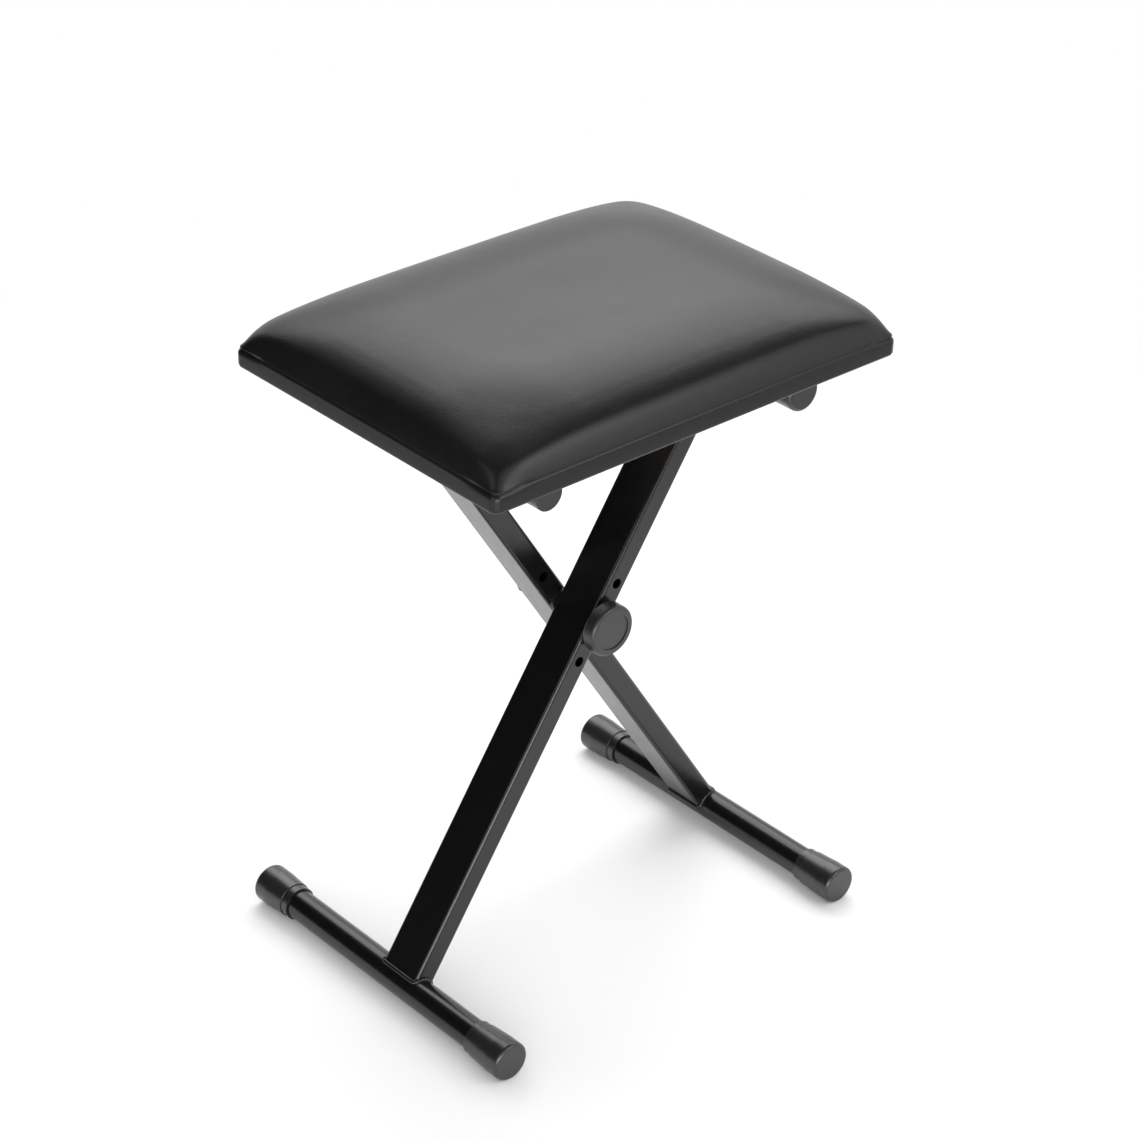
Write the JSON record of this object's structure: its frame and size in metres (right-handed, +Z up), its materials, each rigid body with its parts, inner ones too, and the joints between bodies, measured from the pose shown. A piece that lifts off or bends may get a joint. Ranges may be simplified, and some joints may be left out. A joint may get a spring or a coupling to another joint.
{
  "type": "keyboard bench",
  "caption": "Folding keyboard bench: a padded rectangular seat on crossed flat-tube legs with round foot tubes, capped ends and a hand knob on the crossing bolt.",
  "frame": {"origin": "on the floor, under the middle of the seat", "axes": "+Z up, +X along the seat's long side, +Y along the foot tubes"},
  "size_m": [0.4, 0.308, 0.5596],
  "materials": {
    "black_paint": "gloss",
    "cap_plastic": "matte",
    "knob_plastic": "matte",
    "bracket_plastic": "satin",
    "zinc_steel": "satin",
    "insert_brass": "satin",
    "board_wood": "matte",
    "pad_foam": "matte",
    "black_vinyl": "satin"
  },
  "bodies": {
    "rear_leg_frame": {"rear_leg_tube": "black_paint", "rear_foot_tube": "black_paint", "rear_seat_bar": "black_paint", "rear_leg_sleeve": "zinc_steel", "pivot_bolt": "zinc_steel", "bolt_washer": "zinc_steel", "leg_spacer": "bracket_plastic", "rear_foot_cap_near": "cap_plastic", "rear_bar_plug_near": "cap_plastic", "rear_foot_cap_far": "cap_plastic", "rear_bar_plug_far": "cap_plastic"},
    "front_leg_frame": {"front_leg_tube": "black_paint", "front_foot_tube": "black_paint", "front_seat_bar": "black_paint", "front_leg_sleeve": "zinc_steel", "knob_washer": "zinc_steel", "front_foot_cap_near": "cap_plastic", "front_bar_boot_near": "cap_plastic", "front_foot_cap_far": "cap_plastic", "front_bar_boot_far": "cap_plastic"},
    "knob": {"knob_body": "knob_plastic", "knob_cap": "knob_plastic", "knob_insert": "insert_brass"},
    "seat": {"seat_board": "board_wood", "seat_foam": "pad_foam", "seat_cover": "black_vinyl", "cover_staples": "zinc_steel", "strap_screws": "zinc_steel", "hook_screws": "zinc_steel", "hinge_strap_near": "zinc_steel", "hinge_saddle_near": "bracket_plastic", "bar_hook_near": "bracket_plastic", "hinge_strap_far": "zinc_steel", "hinge_saddle_far": "bracket_plastic", "bar_hook_far": "bracket_plastic"}
  },
  "joints": [
    {"name": "leg_fold", "type": "hinge", "parent": "rear_leg_frame", "child": "front_leg_frame", "pos_m": [0, 0, 0.28885], "axis": [0, -1, 0], "range_deg": [0, 58]},
    {"name": "seat_hinge", "type": "hinge", "parent": "rear_leg_frame", "child": "seat", "pos_m": [-0.1272, 0, 0.4818], "axis": [0, -1, 0], "range_deg": [0, 121.8]},
    {"name": "knob_turn", "type": "hinge", "parent": "rear_leg_frame", "child": "knob", "pos_m": [0, 0, 0.28885], "axis": [0, -1, 0], "continuous": true}
  ],
  "couplings": [
    {"joint": "seat_hinge", "follows": "leg_fold", "ratio": 2.1}
  ]
}
